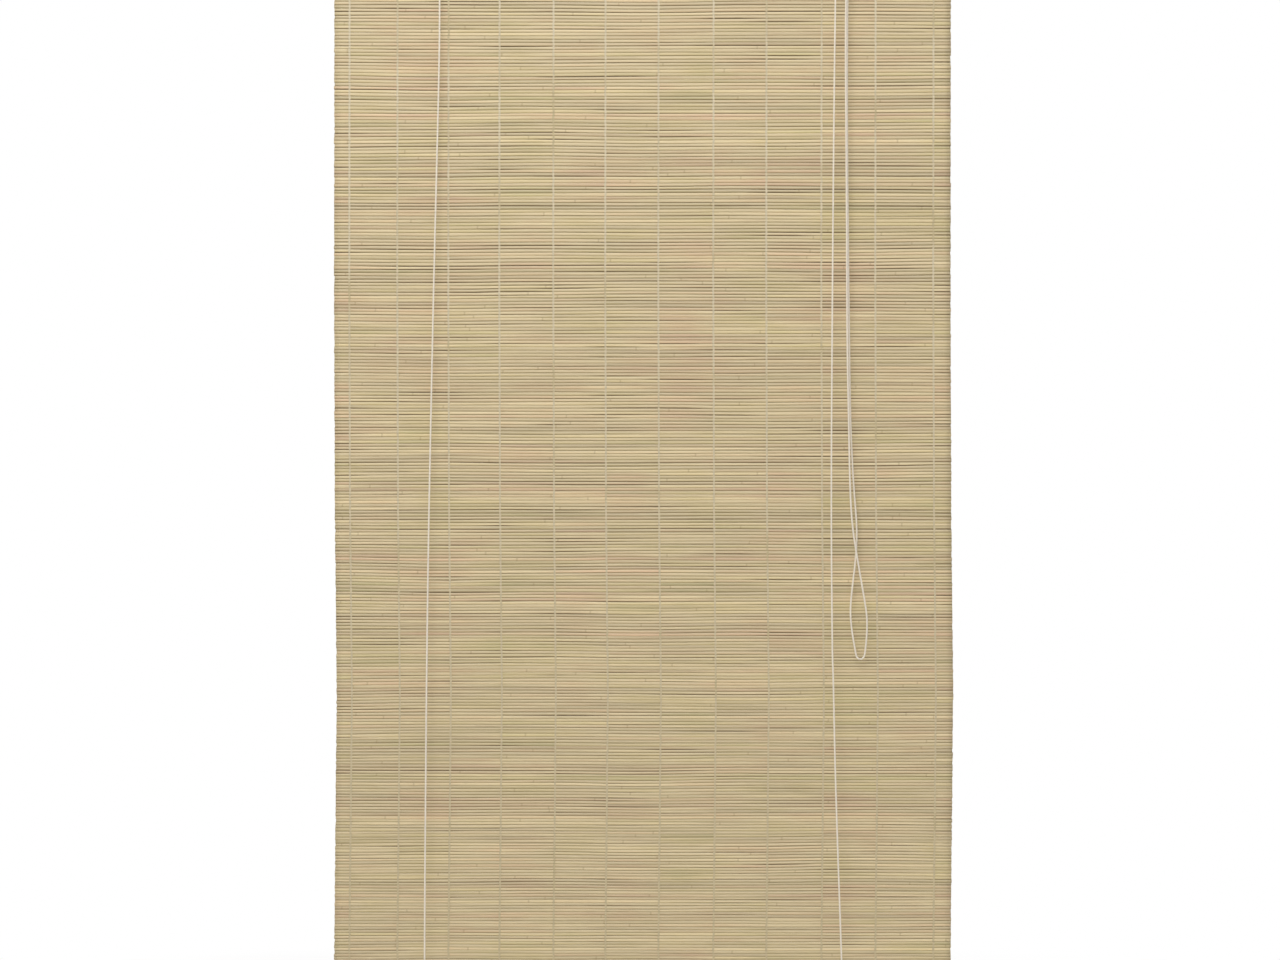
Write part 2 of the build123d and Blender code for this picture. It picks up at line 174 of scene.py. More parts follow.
def noiseAt(tree, vector, scale=1.0, detail=3.0, roughness=0.5):
    node = addNode(tree, "ShaderNodeTexNoise", Scale=scale, Detail=detail, Roughness=roughness)
    wire(tree, vector, node.inputs["Vector"])
    return node.outputs["Fac"]


def rangeOf(tree, value, low, high, toLow=0.0, toHigh=1.0):
    node = addNode(tree, "ShaderNodeMapRange")
    for name, number in (("From Min", low), ("From Max", high), ("To Min", toLow), ("To Max", toHigh)):
        node.inputs[name].default_value = number
    wire(tree, value, node.inputs["Value"])
    return node.outputs["Result"]


def bumpFrom(tree, shader, height, strength, distance):
    bump = addNode(tree, "ShaderNodeBump", Strength=strength, Distance=distance)
    wire(tree, height, bump.inputs["Height"])
    wire(tree, bump.outputs["Normal"], shader.inputs["Normal"])


# Long fibres along X, as in split bamboo and planed wood
def makeFibreGroup():
    values = [("Along", 3.0), ("Across", 900.0)]
    tree, given, result = newGroup("fibreGrain", values, [("Fibre", "Float"), ("Streak", "Float")])
    place = addNode(tree, "ShaderNodeTexCoord")
    split = addNode(tree, "ShaderNodeSeparateXYZ")
    wire(tree, place.outputs["Object"], split.inputs[0])
    join = addNode(tree, "ShaderNodeCombineXYZ")
    wire(tree, mathNode(tree, "MULTIPLY", split.outputs["X"], given["Along"]), join.inputs["X"])
    wire(tree, mathNode(tree, "MULTIPLY", split.outputs["Y"], given["Across"]), join.inputs["Y"])
    wire(tree, mathNode(tree, "MULTIPLY", split.outputs["Z"], given["Across"]), join.inputs["Z"])
    fine = noiseAt(tree, join.outputs[0], scale=2.2, detail=4.0, roughness=0.62)
    broad = noiseAt(tree, join.outputs[0], scale=0.55, detail=2.0)
    wire(tree, fine, result["Fibre"])
    wire(tree, broad, result["Streak"])
    return tree


fibreGroup = makeFibreGroup()


# Bamboo slats
bambooLook = {
    "pink": linear(208, 177, 142),
    "tan": linear(209, 185, 144),
    "cream": linear(213, 194, 153),
    "straw": linear(207, 188, 141),
    "green": linear(197, 183, 133),
    # painted shade in the grooves between slats, partly the browner colour of the split sides, and next a
    # darker painted shadow for deep grooves
    "seamSideAndShade": linear(146, 124, 84),
    "deepSeamShadow": linear(92, 73, 44),
    # painted highlight on the upper edge of each slat, with litShare as its strength
    "lit": linear(236, 221, 188),
    "node": linear(150, 122, 80),
    "seamShadeRange": (0.02, 0.6, 0.0, 0.85),  # from and to in depth, then from and to in colour
    "deepShadowRange": (0.5, 0.95, 0.0, 0.9),
    "litShare": 0.55,
    "shadeRange": (0.765, 1.225),
    "streakRange": (0.9, 1.07),
    "fibreRange": (0.955, 1.04),
    "patchSize": (9.0, 1.0, 16.0),
    "nodeRate": 1.4,  # growth rings for each metre of slat
    "nodeHalf": 0.0022,
    "nodeShare": 0.35,
    "nodeHeight": 1.2,  # times the height of the fibres
    "roughness": (0.50, 0.68),
}


def bambooMaterial():
    look = bambooLook
    material, tree, shader = newMaterial("splitBamboo")
    marks = {}
    for name in ("tone", "shade", "seamSideAndShade", "edgeHighlight", "nodeShift"):
        marks[name] = addNode(tree, "ShaderNodeAttribute", attribute_name=name).outputs["Fac"]
    fibre = placeGroup(tree, fibreGroup, Along=3.0, Across=1400.0)

    ramp = addNode(tree, "ShaderNodeValToRGB")
    ramp.color_ramp.elements[0].position = 0.1
    ramp.color_ramp.elements[0].color = look["pink"]
    ramp.color_ramp.elements[1].position = 0.9
    ramp.color_ramp.elements[1].color = look["green"]
    for position, colour in ((0.32, look["tan"]), (0.5, look["cream"]), (0.7, look["straw"])):
        ramp.color_ramp.elements.new(position).color = colour
    patches = noiseAt(tree, stretchedPlace(tree, *look["patchSize"]), detail=2.0)
    drift = mathNode(tree, "SUBTRACT", patches, 0.5)
    wire(tree, mathNode(tree, "ADD", marks["tone"], drift, clamp=True), ramp.inputs["Fac"])

    streaks = rangeOf(tree, fibre["Streak"], 0.32, 0.68, *look["streakRange"])
    fine = rangeOf(tree, fibre["Fibre"], 0.3, 0.7, *look["fibreRange"])
    shade = rangeOf(tree, marks["shade"], 0.0, 1.0, *look["shadeRange"])
    shade = mathNode(tree, "MULTIPLY", mathNode(tree, "MULTIPLY", streaks, fine), shade)
    base = mixColour(tree, "MULTIPLY", 1.0, ramp.outputs["Color"], grey(tree, shade))
    # painted highlight on the upper edge of each slat, where light from above would fall
    lit = mathNode(tree, "MULTIPLY", marks["edgeHighlight"], look["litShare"])
    base = mixColour(tree, "MIX", lit, base, look["lit"])

    # growth rings of the cane, a thin brown band now and then along a slat
    place = addNode(tree, "ShaderNodeTexCoord")
    split = addNode(tree, "ShaderNodeSeparateXYZ")
    wire(tree, place.outputs["Object"], split.inputs[0])
    row = mathNode(tree, "MULTIPLY", split.outputs["X"], look["nodeRate"])
    row = mathNode(tree, "ADD", row, marks["nodeShift"])
    within = mathNode(tree, "ABSOLUTE", mathNode(tree, "SUBTRACT", mathNode(tree, "FRACT", row), 0.5))
    band = rangeOf(tree, within, 0.0, look["nodeHalf"], 1.0, 0.0)
    base = mixColour(tree, "MIX", mathNode(tree, "MULTIPLY", band, look["nodeShare"]), base, look["node"])

    # painted shade in the grooves between slats, partly the browner split sides, then a darker painted shadow
    # where a groove is deep
    base = mixColour(tree, "MIX", rangeOf(tree, marks["seamSideAndShade"], *look["seamShadeRange"]), base, look["seamSideAndShade"])
    base = mixColour(tree, "MIX", rangeOf(tree, marks["seamSideAndShade"], *look["deepShadowRange"]), base, look["deepSeamShadow"])
    wire(tree, base, shader.inputs["Base Color"])
    wire(tree, rangeOf(tree, fibre["Fibre"], 0.3, 0.7, *look["roughness"]), shader.inputs["Roughness"])
    height = mathNode(tree, "ADD", fibre["Fibre"], mathNode(tree, "MULTIPLY", band, look["nodeHeight"]))
    bumpFrom(tree, shader, height, strength=0.5, distance=0.0002)
    return material


bamboo = bambooMaterial()

# The woven mat, from its top line to its last
slats = {
    "pitchTop": 0.0045,
    "pitchBottom": 0.00375,
    "panelGap": 0.00024,
    "sharedWave": 0.0005,  # rise and fall that neighbours share
    "ownWave": 0.0002,
    "mostWave": 0.0011,
    "straightRows": 4,  # how many rows the wave takes to die out at a join
    "endOver": 0.0003,
    "endSpread": 0.00022,
    "mostEnd": 0.0008,
    # height, and how far rows there stand aside
    "drift": [
        (0.0, -0.0003), (-0.55, -0.0009), (-0.85, 0.0001), (-1.09, 0.0025),
        (-1.25, 0.001), (-1.42, -0.0008), (-1.6, 0.0),
    ],
    "thickness": (0.00148, 0.00172),
    "proud": 0.00008,
    "mostProud": 0.00012,
    "columns": [
        -0.3805, -0.3182, -0.2519, -0.1857, -0.1156, -0.0481,
        0.0208, 0.0922, 0.161, 0.2325, 0.3026, 0.3779,
    ],
    "columnEdge": 0.0015,  # how fast the tint of a slat changes at a thread
    "blurReach": 8,  # rows that one step of blur draws on
    "seed": 11,
}
# How deep the grooves are, which also sets their painted shade and the painted highlight on the edge below,
# and what tint and brightness a slat has: a middle value, and how far it differs by row, along a row and
# between two threads
grooves = {
    "middle": 0.27,
    "row": 0.17,
    "along": 0.14,
    "column": 0.1,
    "open": 0.7,  # what a run that opens adds
    "openFrom": 0.8,
    "least": 0.25,  # share of the painted groove shade that the shallowest groove has
    "litLeast": 0.45,  # the painted highlight on the edge under a groove is stronger the deeper the groove is
    "litMore": 0.8,
    "widen": 0.2,  # share of a slat's face that the deepest groove takes
    # the painted groove shade grows weaker towards the bottom
    "byHeight": [(0.0, 1.1), (-0.9, 1.05), (-1.4, 0.75)],
}
tones = {"middle": 0.5, "row": 0.11, "column": 0.05, "shared": 0.06}
shades = {"middle": 0.5, "row": 0.17, "column": 0.09, "along": 0.15}
# depth and height round one slat, from -1 to 1, with how deep in the seam each corner is, for the painted
# groove shade, and how much painted highlight it takes
slatProfile = [
    (-0.42, 1.0, 1.0, 0.0),
    (-0.82, 0.78, 0.2, 0.8),
    (-1.0, 0.45, 0.0, 1.0),
    (-1.0, -0.2, 0.0, 0.2),
    (-0.86, -0.66, 0.3, 0.0),
    (-0.42, -1.0, 1.0, 0.0),
    (0.9, -0.7, 0.4, 0.0),
    (1.0, 0.0, 0.1, 0.1),
    (0.9, 0.7, 0.4, 0.0),
]
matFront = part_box("mat_upper")[0].y
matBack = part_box("mat_upper")[1].y
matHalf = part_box("mat_upper")[1].x
turns = sorted(name for name in joints if name.startswith("turn_"))
random = np.random.default_rng(slats["seed"])


def slatLines():
    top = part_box("mat_top_band")[1].z + slats["panelGap"] / 2
    ends = [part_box(name)[0].z for name in frame["nodes"] if name.startswith("mat_")]
    bottom = min(ends) - slats["panelGap"] / 2
    lines = [top]
    while True:
        depth = (top - lines[-1]) / (top - bottom)
        pitch = slats["pitchTop"] + (slats["pitchBottom"] - slats["pitchTop"]) * depth
        if lines[-1] - 1.5 * pitch < bottom:
            return np.array(lines + [bottom])
        lines.append(lines[-1] - pitch)


def sharedRows(raw, blur):
    window = np.hanning(slats["blurReach"] * blur + 1)
    blurred = np.apply_along_axis(lambda column: np.convolve(column, window, "valid"), 0, raw)
    return blurred / math.sqrt((window**2).sum())


def smoothNoise(rows, knots, blur=0):
    # random waves along X, which neighbouring rows share where there is blur
    raw = random.normal(size=(rows + slats["blurReach"] * blur, knots))
    if blur:
        raw = sharedRows(raw, blur)
    raw = raw[:rows]
    at = (alongX + matHalf) / (2 * matHalf) * (knots - 1)
    low = np.minimum(at.astype(int), knots - 2)
    share = at - low
    share = share * share * (3 - 2 * share)
    return raw[:, low] * (1 - share) + raw[:, low + 1] * share


def nearLine(height):
    return int(np.abs(lineHeights - height).argmin())


def columnNoise(rows, blur=0):
    # one value from each thread to the next
    raw = random.normal(size=(rows + slats["blurReach"] * blur, len(slats["columns"]) + 1))
    raw = sharedRows(raw, blur)[:rows] if blur else raw[:rows]
    return raw[:, np.searchsorted(slats["columns"], alongX)]


def openRuns(rows):
    # now and then a groove opens for part of its length, and tapers out, with deeper painted shade along the
    # run
    return np.clip(smoothNoise(rows, knots=12) - grooves["openFrom"], 0, None)


def byHeight(table, heights):
    # the table runs from the top down, and interp wants it from the bottom up
    places, values = np.array(table[::-1]).T
    return np.interp(heights, places, values)


def stationPlaces():
    # close beside each thread, and half way between two
    edges = [-matHalf, *slats["columns"], matHalf]
    places = []
    for low, high in zip(edges, edges[1:]):
        after = slats["columnEdge"] if low > -matHalf else 0
        before = slats["columnEdge"] if high < matHalf else 0
        places += [low + after, (low + high) / 2, high - before]
    return np.array(places)


lineHeights = slatLines()
lineCount = len(lineHeights)
alongX = stationPlaces()
lineWave = slats["sharedWave"] * smoothNoise(lineCount, knots=7, blur=4)
lineWave = lineWave + slats["ownWave"] * smoothNoise(lineCount, knots=12)
bandEnd = nearLine(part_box("mat_top_band")[0].z)
risingStart = nearLine(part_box("mat_panel_01")[1].z)
for straight in (0, bandEnd, risingStart, lineCount - 1):
    # the weave is straight where two pieces of it meet
    awayFromJoin = np.abs(np.arange(lineCount) - straight) / slats["straightRows"]
    lineWave *= np.clip(awayFromJoin, 0, 1)[:, None]
seams = lineHeights[:, None] + np.clip(lineWave, -slats["mostWave"], slats["mostWave"])
seamDepth = grooves["middle"] + grooves["row"] * random.normal(size=(lineCount, 1))
seamDepth = seamDepth + grooves["along"] * smoothNoise(lineCount, knots=9)
seamDepth = seamDepth + grooves["column"] * columnNoise(lineCount) + grooves["open"] * openRuns(lineCount)
seamDepth = np.clip(seamDepth * byHeight(grooves["byHeight"], lineHeights)[:, None], 0.0, 1.0)
slatTone = tones["middle"] + tones["row"] * random.normal(size=(lineCount, 1))
slatTone = slatTone + tones["column"] * columnNoise(lineCount)
slatTone = slatTone + tones["shared"] * columnNoise(lineCount, blur=1)
slatShade = shades["middle"] + shades["row"] * random.normal(size=(lineCount, 1))
slatShade = slatShade + shades["column"] * columnNoise(lineCount)
slatShade = slatShade + shades["along"] * smoothNoise(lineCount, knots=12)
slatThick = random.uniform(*slats["thickness"], size=lineCount)
slatProud = slats["proud"] * smoothNoise(lineCount, knots=6)
slatAside = byHeight(slats["drift"], lineHeights)
slatOver = random.normal(slats["endOver"], slats["endSpread"], size=(lineCount, 2))
slatEnds = matHalf + np.clip(slatOver, -slats["mostEnd"], slats["mostEnd"])
slatNodes = random.uniform(0, 1, size=lineCount)


def meshFrom(name, points, faces, material, attributes=None, smooth=True):
    mesh = bpy.data.meshes.new(name)
    mesh.from_pydata(points, [], faces)
    mesh.polygons.foreach_set("use_smooth", [smooth] * len(mesh.polygons))
    for label, values in (attributes or {}).items():
        mesh.attributes.new(label, "FLOAT", "POINT").data.foreach_set("value", np.asarray(values, np.float32))
    mesh.materials.append(material)
    mesh.update()
    piece = bpy.data.objects.new(name, mesh)
    bpy.context.scene.collection.objects.link(piece)
    return piece


def slatMesh(name, first, last):
    ring = len(slatProfile)
    count = len(alongX)
    points, faces, seamSideAndShade, highlight = [], [], [], []
    middle = (matFront + matBack) / 2
    for number in range(first, last):
        upper, lower = seams[number], seams[number + 1]
        centre, half = (upper + lower) / 2, (upper - lower) / 2
        thick = slatThick[number] / 2
        x = np.interp(alongX, [-matHalf, matHalf], [-slatEnds[number, 0], slatEnds[number, 1]])
        x = x + slatAside[number]
        depth = middle + np.clip(slatProud[number], -slats["mostProud"], slats["mostProud"])
        start = len(points)
        for j in range(count):
            for away, up, mask, lit in slatProfile:
                groove = seamDepth[number if up > 0 else number + 1, j]
                narrow = 1 - grooves["widen"] * groove if away < -0.5 else 1
                points.append((x[j], depth[j] + away * thick, centre[j] + up * narrow * half[j]))
                # painted groove shade and painted edge highlight for each corner, both stronger where the
                # groove is deep
                seamSideAndShade.append(mask * (grooves["least"] + (1 - grooves["least"]) * groove))
                highlight.append(lit * min(grooves["litLeast"] + grooves["litMore"] * groove, 1.0))
        for j in range(count - 1):
            for k in range(ring):
                a = start + j * ring + k
                b = start + j * ring + (k + 1) % ring
                faces.append((a, b, b + ring, a + ring))
        faces.append(tuple(range(start + ring - 1, start - 1, -1)))
        faces.append(tuple(range(start + (count - 1) * ring, start + count * ring)))
    tone = np.repeat(slatTone[first:last].ravel(), ring)
    shade = np.repeat(slatShade[first:last].ravel(), ring)
    shift = np.repeat(slatNodes[first:last], count * ring)
    marks = {"tone": tone, "shade": shade, "seamSideAndShade": seamSideAndShade, "edgeHighlight": highlight, "nodeShift": shift}
    piece = meshFrom(name, points, faces, bamboo, marks)
    return piece


# Loose fibres of cotton, on the threads and the cord
def makeYarnGroup():
    tree, given, result = newGroup("yarnFuzz", [("Fineness", 900.0)], [("Fuzz", "Float")])
    place = addNode(tree, "ShaderNodeTexCoord")
    fuzz = addNode(tree, "ShaderNodeTexNoise", Detail=3.0, Roughness=0.6)
    wire(tree, place.outputs["Object"], fuzz.inputs["Vector"])
    wire(tree, given["Fineness"], fuzz.inputs["Scale"])
    wire(tree, fuzz.outputs["Fac"], result["Fuzz"])
    return tree


yarnGroup = makeYarnGroup()

# Warp threads, a pair in each column, one before and one behind each slat by turns
threads = {
    "halfWidth": 0.00125,
    "halfDepth": 0.00026,
    "spread": 0.00018,
    "proud": 0.6,  # share of a strand's half depth that its middle stands off the mat
    "crossing": 0.55,  # how near to the front the two strands cross between slats
    "overSlat": 0.72,  # share of a slat's height that a strand lies flat on
    "fadeFrom": -0.35,  # the lower down, the more the threads are stained like the mat
    "fadeTo": -1.6,
    "stainMiddle": 0.12,
    "stainSpread": 0.5,
    "stainRows": 9,
    "fineness": 2600.0,
    "pale": linear(221, 208, 180),
    "stained": linear(203, 186, 147),
}


def threadMaterial():
    material, tree, shader = newMaterial("cottonThread")
    stain = addNode(tree, "ShaderNodeAttribute", attribute_name="stain").outputs["Fac"]
    colour = mixColour(tree, "MIX", stain, threads["pale"], threads["stained"])
    twist = placeGroup(tree, yarnGroup, Fineness=threads["fineness"])["Fuzz"]
    colour = mixColour(tree, "MULTIPLY", 1.0, colour, grey(tree, rangeOf(tree, twist, 0.3, 0.7, 0.86, 1.04)))
    wire(tree, colour, shader.inputs["Base Color"])
    shader.inputs["Roughness"].default_value = 0.85
    bumpFrom(tree, shader, twist, strength=0.4, distance=0.0001)
    return material


def stainedRows():
    # how much of the mat's colour a column of thread has taken, row by row
    knots = np.arange(0, lineCount + threads["stainRows"], threads["stainRows"])
    noise = np.interp(np.arange(lineCount), knots, random.normal(size=len(knots)))
    return np.clip(threads["stainMiddle"] + threads["stainSpread"] * noise, 0, 1)


cotton = threadMaterial()
threadStain = [stainedRows() for column in slats["columns"]]


def threadMesh(name, first, last):
    points, faces, stain = [], [], []
    wide, deep = threads["halfWidth"], threads["halfDepth"]
    middle = (matFront + matBack) / 2
    crossing = middle + (matFront - middle) * threads["crossing"]
    flat = threads["overSlat"]
    sunk = deep * threads["proud"]
    for column, x in enumerate(slats["columns"]):
        line = np.array([np.interp(x, alongX, row) for row in seams[first : last + 1]])
        aside = x + slatAside
        for strand in (0, 1):
            path, marks = [], []
            for number in range(first, last):
                upper, lower = line[number - first], line[number - first + 1]
                centre, half = (upper + lower) / 2, (upper - lower) / 2
                before = (number + strand) % 2 == 0
                sideways = threads["spread"] * (1 if before else -1) * (1 if number % 4 < 2 else -1)
                depth = matFront - sunk if before else matBack + sunk
                x = aside[number]
                path.append((x, crossing, upper))
                path.append((x + sideways, depth, centre + flat * half))
                path.append((x + sideways, depth, centre - flat * half))
                fade = (threads["fadeFrom"] - centre) / (threads["fadeFrom"] - threads["fadeTo"])
                marks += [max(threadStain[column][number], np.clip(fade, 0, 1))] * 3
            path.append((aside[last], crossing, line[-1]))
            marks.append(marks[-1])
            start = len(points)
            for (px, py, pz), mark in zip(path, marks):
                points += [(px - wide, py, pz), (px, py - deep, pz), (px + wide, py, pz), (px, py + deep, pz)]
                stain += [mark] * 4
            for j in range(len(path) - 1):
                for k in range(4):
                    a = start + j * 4 + k
                    b = start + j * 4 + (k + 1) % 4
                    faces.append((a, a + 4, b + 4, b))
            faces.append((start, start + 1, start + 2, start + 3))
            end = start + 4 * (len(path) - 1)
            faces.append((end + 3, end + 2, end + 1, end))
    piece = meshFrom(name, points, faces, cotton, {"stain": stain}, smooth=False)
    return piece


# Stretches of the mat go with what carries them; those at the turns are baked in place
turnLines = [nearLine(joints[name]["pos_m"][2]) for name in turns]
middleLines = [round((a + b) / 2) for a, b in zip([risingStart] + turnLines, turnLines + [lineCount - 1])]


def matPieces(name, first, last):
    return [slatMesh("slats_" + name, first, last), threadMesh("threads_" + name, first, last)]


for piece in matPieces("top_band", 0, bandEnd):
    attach(piece, joints["raise"]["parent"])
    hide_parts("mat_top_band")
for piece in matPieces("upper", bandEnd, risingStart):
    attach(piece, joints["raise"]["parent"])
    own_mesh(piece)
    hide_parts("mat_upper")
for piece in matPieces("rising", risingStart, middleLines[0]):
    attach(piece, joints["raise"]["child"])
    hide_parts("mat_panel_01")
for number, turn in enumerate(turns):
    first, last = middleLines[number], middleLines[number + 1]
    for piece in matPieces(turn, first, last):
        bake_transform(piece)
        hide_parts(frame["record"]["behaviour"]["bodies"][joints[turn]["child"]][0])
for piece in matPieces("hem", middleLines[-1], lineCount - 1):
    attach(piece, joints[turns[-1]]["child"])
print("mat woven,", lineCount - 1, "slats")

# Cords, each along its own route
cords = {
    "diameter": 0.0022,
    "sides": 10,
    "step": 0.004,
    "anySide": (0.31, 0.87, 0.38),  # a direction that no cord starts along
    "plaitShadeShare": 0.6,
    "braidPitch": 0.0042,
    "plaits": 6.0,
    "fineness": 900.0,
    "pale": linear(246, 236, 220),
    # painted shade for the hollows between the plaits
    "shade": linear(208, 195, 176),
}


def makeBraidGroup():
    # two sets of plaits that cross round the cord, read from its own map
    tree, given, result = newGroup("cordBraid", [("Plaits", 6.0)], [("Height", "Float"), ("PlaitShade", "Float")])
    place = addNode(tree, "ShaderNodeUVMap", uv_map="cordMap")
    split = addNode(tree, "ShaderNodeSeparateXYZ")
    wire(tree, place.outputs[0], split.inputs[0])
    waves = []
    for side in (1, -1):
        turned = mathNode(tree, "MULTIPLY", split.outputs["Y"], side)
        phase = mathNode(tree, "MULTIPLY", mathNode(tree, "ADD", split.outputs["X"], turned), given["Plaits"])
        wave = mathNode(tree, "SINE", mathNode(tree, "MULTIPLY", phase, math.pi))
        waves.append(mathNode(tree, "ABSOLUTE", wave))
    height = mathNode(tree, "MAXIMUM", waves[0], waves[1])
    wire(tree, height, result["Height"])
    # mask for painted shade in the hollows between the plaits
    wire(tree, rangeOf(tree, height, 0.35, 0.8, 1.0, 0.0), result["PlaitShade"])
    return tree


braidGroup = makeBraidGroup()


def cordMaterial():
    material, tree, shader = newMaterial("braidedCord")
    braid = placeGroup(tree, braidGroup, Plaits=cords["plaits"])
    fuzz = placeGroup(tree, yarnGroup, Fineness=cords["fineness"])["Fuzz"]
    # painted shade in the hollows between the plaits
    shadeInGaps = mathNode(tree, "MULTIPLY", braid["PlaitShade"], cords["plaitShadeShare"])
    colour = mixColour(tree, "MIX", shadeInGaps, cords["pale"], cords["shade"])
    colour = mixColour(tree, "MULTIPLY", 1.0, colour, grey(tree, rangeOf(tree, fuzz, 0.3, 0.7, 0.93, 1.04)))
    wire(tree, colour, shader.inputs["Base Color"])
    shader.inputs["Roughness"].default_value = 0.8
    shader.inputs["Sheen Weight"].default_value = 0.2
    bumpFrom(tree, shader, braid["Height"], strength=0.6, distance=0.0002)
    return material


braided = cordMaterial()


def routeLine(name, route):
    curve = bpy.data.curves.new(name + "Route", "CURVE")
    curve.dimensions = "3D"
    curve.resolution_u = 14
    spline = curve.splines.new("NURBS")
    spline.points.add(len(route) - 1)
    for point, place in zip(spline.points, route):
        point.co = (*place, 1.0)
    spline.order_u = 3
    spline.use_endpoint_u = True
    holder = bpy.data.objects.new(name + "Route", curve)
    bpy.context.scene.collection.objects.link(holder)
    line = bpy.data.meshes.new_from_object(holder)
    places = np.array([vertex.co for vertex in line.vertices], float)
    bpy.data.objects.remove(holder)
    bpy.data.meshes.remove(line)
    return places


def evenSteps(places, step):
    steps = np.linalg.norm(np.diff(places, axis=0), axis=1)
    travel = np.concatenate([[0], np.cumsum(steps)])
    count = max(int(travel[-1] / step), 8)
    wanted = np.linspace(0, travel[-1], count + 1)
    return np.stack([np.interp(wanted, travel, places[:, i]) for i in range(3)], axis=1), wanted


def tubeMesh(name, places, travel, radius, material, sides=10):
    ahead = np.gradient(places, axis=0)
    ahead /= np.linalg.norm(ahead, axis=1)[:, None]
    side = np.cross(ahead[0], cords["anySide"])
    rings = []
    for direction in ahead:
        side = side - direction * np.dot(side, direction)
        side /= np.linalg.norm(side)
        other = np.cross(direction, side)
        angles = np.arange(sides) * 2 * math.pi / sides
        rings.append(np.outer(np.cos(angles), side) + np.outer(np.sin(angles), other))
    points = (places[:, None, :] + radius * np.array(rings)).reshape(-1, 3)
    faces, maps = [], []
    for j in range(len(places) - 1):
        for k in range(sides):
            a, b = j * sides + k, j * sides + (k + 1) % sides
            faces.append((a, b, b + sides, a + sides))
            low, high = travel[j] / cords["braidPitch"], travel[j + 1] / cords["braidPitch"]
            maps += [(k / sides, low), ((k + 1) / sides, low), ((k + 1) / sides, high), (k / sides, high)]
    faces += [tuple(range(sides - 1, -1, -1)), tuple(range(len(points) - sides, len(points)))]
    maps += [(0, 0)] * (2 * sides)
    piece = meshFrom(name, points.tolist(), faces, material)
    layer = piece.data.uv_layers.new(name="cordMap")
    layer.data.foreach_set("uv", np.array(maps, np.float32).ravel())
    return piece


def cordPiece(name, route):
    places, travel = evenSteps(routeLine(name, route), cords["step"])
    piece = tubeMesh(name + "_braid", places, travel, cords["diameter"] / 2, braided, cords["sides"])
    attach(piece, "rail")
    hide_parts(name)
    return piece, places, travel[-1]


# The knot at the back end of a lift cord
cordKnot = {
    "size": (0.000527, 0.0004675, 0.000765),
    "points": 60,
    "step": 0.0006,
    "radius": 0.000924,
    "sides": 8,
}


def knotPiece(name, centre):
    # the cord's end, tied round itself
    turn = np.linspace(0, 2 * math.pi, cordKnot["points"])
    wide, deep, high = cordKnot["size"]
    x = wide * (np.sin(turn) + 2 * np.sin(2 * turn))
    y = deep * (np.cos(turn) - 2 * np.cos(2 * turn))
    z = high * np.sin(3 * turn)
    places, travel = evenSteps(np.stack([x, y, z], axis=1) + np.array(centre), cordKnot["step"])
    piece = tubeMesh(name, places, travel, cordKnot["radius"], braided, cordKnot["sides"])
    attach(piece, "rail")
    return piece


# Where the cords leave the rail, the depths they hang at, and the run along the rail
leftX = -0.2636
rightX = 0.2494
pullX = 0.2674
innerY = -0.0145
outerY = -0.0201
backY = -0.0032
crossZ = -0.053
anchorZ = -0.026
liftRoutes = {
    "lift_cord_left": [
        (leftX, innerY, -0.061), (leftX, -0.01539, -0.190), (-0.2638, -0.01594, -0.268),
        (-0.2697, -0.01755, -0.502), (-0.2732, -0.01863, -0.658), (-0.2794, -0.02079, -0.970),
        (-0.2830, -0.02402, -1.437), (-0.2817, -0.0251, -1.585), (-0.2816, -0.02545, -1.6156),
        (-0.2816, -0.0142, -1.6156), (-0.2816, -0.0030, -1.6156), (-0.2816, backY, -1.600),
        (-0.2816, backY, -1.560), (-0.2816, backY, -0.800), (-0.2816, backY, anchorZ),
    ],
    "lift_cord_right": [
        (rightX, outerY, -0.063), (rightX, -0.02052, -0.190), (0.2478, -0.02078, -0.268),
        (0.2450, -0.02181, -0.580), (0.2433, -0.02267, -0.840), (0.2448, -0.02333, -1.039),
        (0.2461, -0.02342, -1.066), (0.2487, -0.02388, -1.203), (0.2569, -0.02465, -1.437),
        (0.2615, -0.0252, -1.585), (0.2620, -0.02545, -1.6156), (0.2620, -0.0142, -1.6156),
        (0.2620, -0.0030, -1.6156), (0.2620, backY, -1.600), (0.2620, backY, -1.560),
        (0.2620, backY, -0.800), (0.2620, backY, anchorZ),
    ],
}
crossRoute = [
    (leftX, innerY, -0.061), (leftX, innerY, crossZ), (leftX + 0.014, innerY, crossZ),
    (0.0, innerY, crossZ), (pullX - 0.018, innerY, crossZ), (pullX, innerY, crossZ),
    (pullX, innerY, -0.063),
]
pullRoute = [
    (rightX, outerY, -0.063), (rightX, outerY, crossZ), (pullX, outerY, crossZ),
    (pullX, outerY, -0.071), (pullX, outerY, -0.104), (0.2616, -0.0203, -0.190),
    (0.2635, -0.0204, -0.430), (0.2642, -0.0202, -0.645), (0.2664, -0.0200, -0.736),
    (0.2676, -0.0202, -0.814), (0.2703, -0.0204, -0.872), (0.2792, -0.0202, -0.926),
    (0.2868, -0.0198, -0.969), (0.2900, -0.0192, -0.990), (0.2902, -0.0184, -1.010),
    (0.2884, -0.0176, -1.032), (0.2862, -0.0171, -1.0462), (0.2768, -0.0167, -1.0462),
    (0.2746, -0.0162, -1.032), (0.2706, -0.0157, -1.010), (0.2683, -0.0150, -0.983),
    (0.2716, -0.0146, -0.950), (0.2757, -0.0145, -0.918), (0.2778, -0.0146, -0.876),
    (0.2732, -0.0147, -0.826), (0.2690, -0.0146, -0.746), (0.2674, -0.0145, -0.645),
    (0.2634, -0.0144, -0.240), (pullX, innerY, -0.063),
]

for name, route in liftRoutes.items():
    piece, places, length = cordPiece(name, route)
    knot = knotPiece(name + "_knot", route[-1])
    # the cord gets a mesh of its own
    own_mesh(piece)
piece, places, length = cordPiece("cross_cord", crossRoute)
piece, places, length = cordPiece("pull_cord", pullRoute)
print("cords laid")

